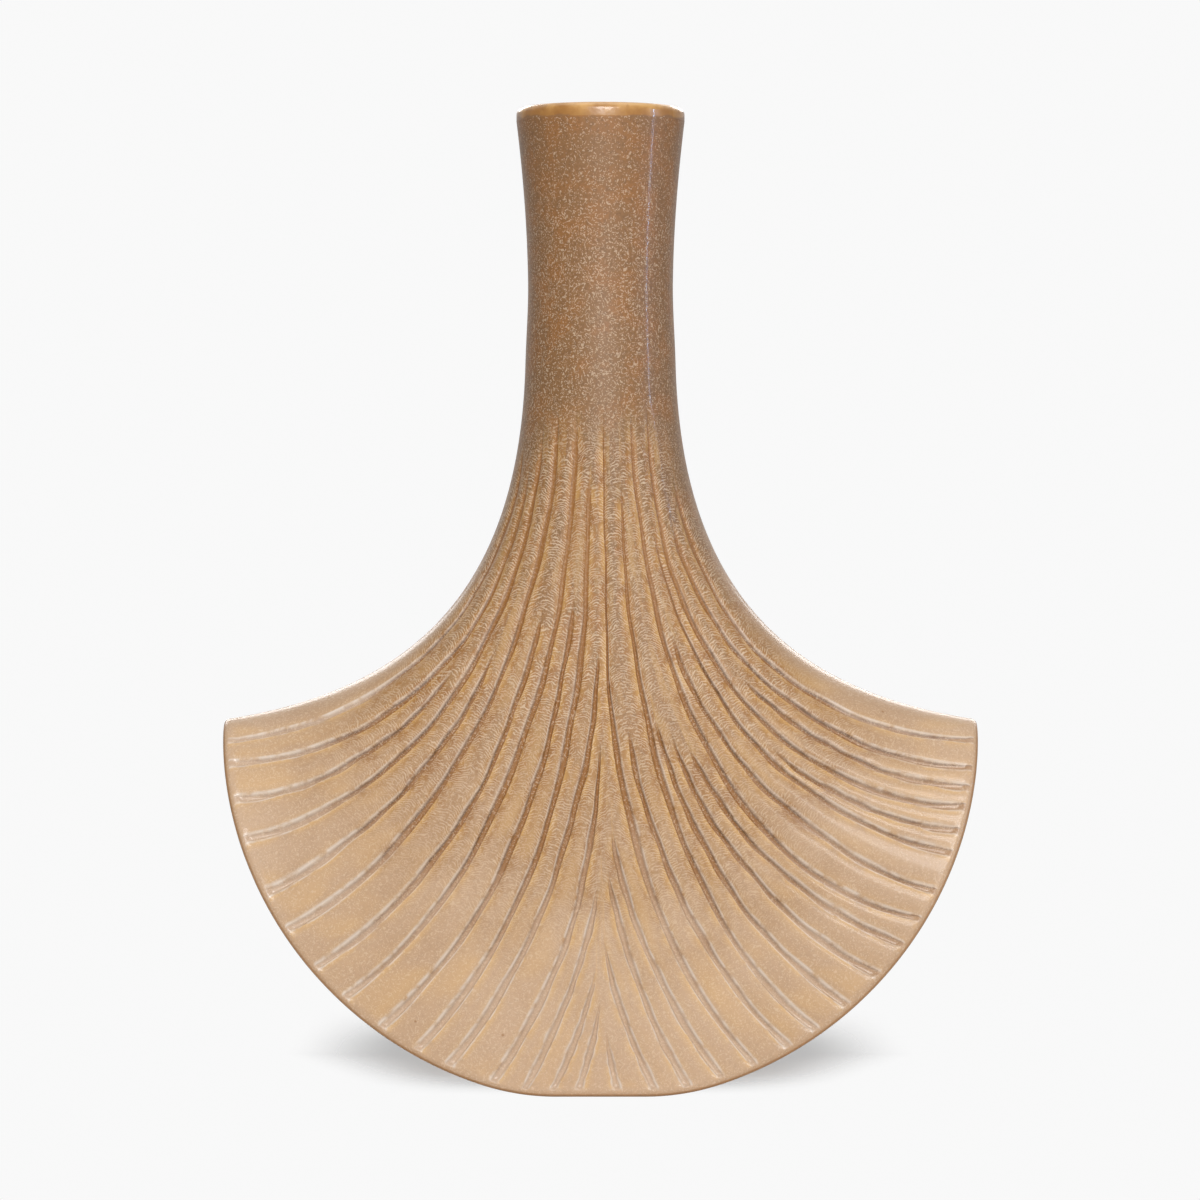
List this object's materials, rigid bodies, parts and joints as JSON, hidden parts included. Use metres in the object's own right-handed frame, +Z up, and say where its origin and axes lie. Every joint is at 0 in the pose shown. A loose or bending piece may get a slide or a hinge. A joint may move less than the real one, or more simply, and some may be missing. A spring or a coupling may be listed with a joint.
{
  "type": "fan vase",
  "caption": "Standing stoneware vase: a round flared neck opens into a flat, hollow fan with fluted faces, a round lower edge and a small flat foot; holds water and flower stems.",
  "frame": {"origin": "centre of the flat foot, on the floor", "axes": "+Z up along the neck; X across the fan's width; -Y out of the front face, +Y out of the rear face"},
  "size_m": [0.2532, 0.0718, 0.33],
  "materials": {
    "body_glaze": "satin beige and brown glaze, fine pale speckles",
    "lip_glaze": "glossy amber glaze",
    "bare_clay": "bare fired clay, matt"
  },
  "bodies": {
    "root": {"front_shell": "body_glaze", "rear_shell": "body_glaze", "base_slab": "body_glaze", "neck_tube": "body_glaze", "lip_ring": "lip_glaze", "neck_seam_coil": "bare_clay", "right_seam_coil": "bare_clay", "left_seam_coil": "bare_clay"}
  },
  "joints": []
}
